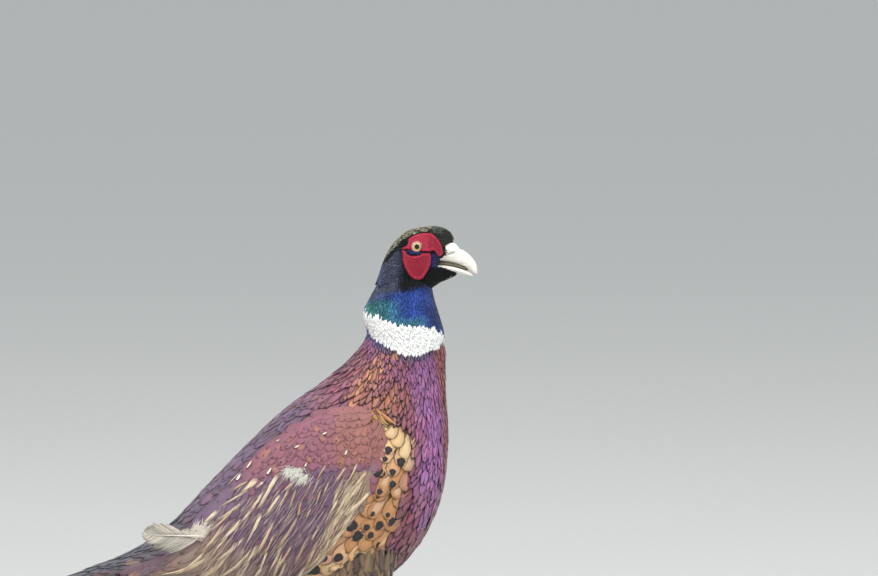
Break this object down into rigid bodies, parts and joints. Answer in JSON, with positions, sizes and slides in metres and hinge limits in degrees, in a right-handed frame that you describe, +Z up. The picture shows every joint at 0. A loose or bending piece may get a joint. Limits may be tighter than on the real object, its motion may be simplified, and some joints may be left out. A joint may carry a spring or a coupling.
{
  "type": "common pheasant",
  "caption": "Cock ring-necked pheasant standing upright and alert, with red face wattles, white collar, folded wings and long pointed tail.",
  "frame": {"origin": "on the floor, under the middle of the bird's length and width", "axes": "+X forward, the way the bill points, +Y the bird's left, +Z up"},
  "size_m": [0.7014, 0.135, 0.4501],
  "materials": {
    "head": "short glossy black-green feathers with a pale speckled crown",
    "neck_upper": "short glossy blue and green feathers",
    "neck_lower": "white collar above narrow black-edged purple and copper feathers",
    "trunk": "overlapping maroon and purple feathers, golden with black spots on the flank",
    "rump": "loose slate-blue and mauve feathers",
    "wing": "maroon and purple coverts with loose cream streaks, brown quills",
    "tail": "olive-buff quills with black bars and maroon fringes",
    "thigh": "soft dark brown feathers",
    "wattle": "bare red skin with fine papillae",
    "eye": "wet eyeball with a pale yellow iris",
    "bill": "ivory horn",
    "leg_scales": "grey scaled skin",
    "claw": "dark horn",
    "spur": "dark horn",
    "pale_feather": "one loose pale feather with a white shaft"
  },
  "bodies": {
    "root": {"bill_upper": "bill", "bill_lower": "bill", "eye_left": "eye", "wattle_left": "wattle", "wing_left": "wing", "thigh_left": "thigh", "foot_left": "leg_scales", "tarsus_left": "leg_scales", "spur_left": "spur", "claw_inner_left": "claw", "claw_middle_left": "claw", "claw_outer_left": "claw", "claw_hind_left": "claw", "tail_central_left": "tail", "tail_side_left": "tail", "eye_right": "eye", "wattle_right": "wattle", "wing_right": "wing", "thigh_right": "thigh", "foot_right": "leg_scales", "tarsus_right": "leg_scales", "spur_right": "spur", "claw_inner_right": "claw", "claw_middle_right": "claw", "claw_outer_right": "claw", "claw_hind_right": "claw", "tail_central_right": "tail", "tail_side_right": "tail", "loose_feather": "pale_feather", "rump": "rump", "trunk": "trunk", "neck_lower": "neck_lower", "neck_upper": "neck_upper", "head": "head"}
  },
  "joints": []
}
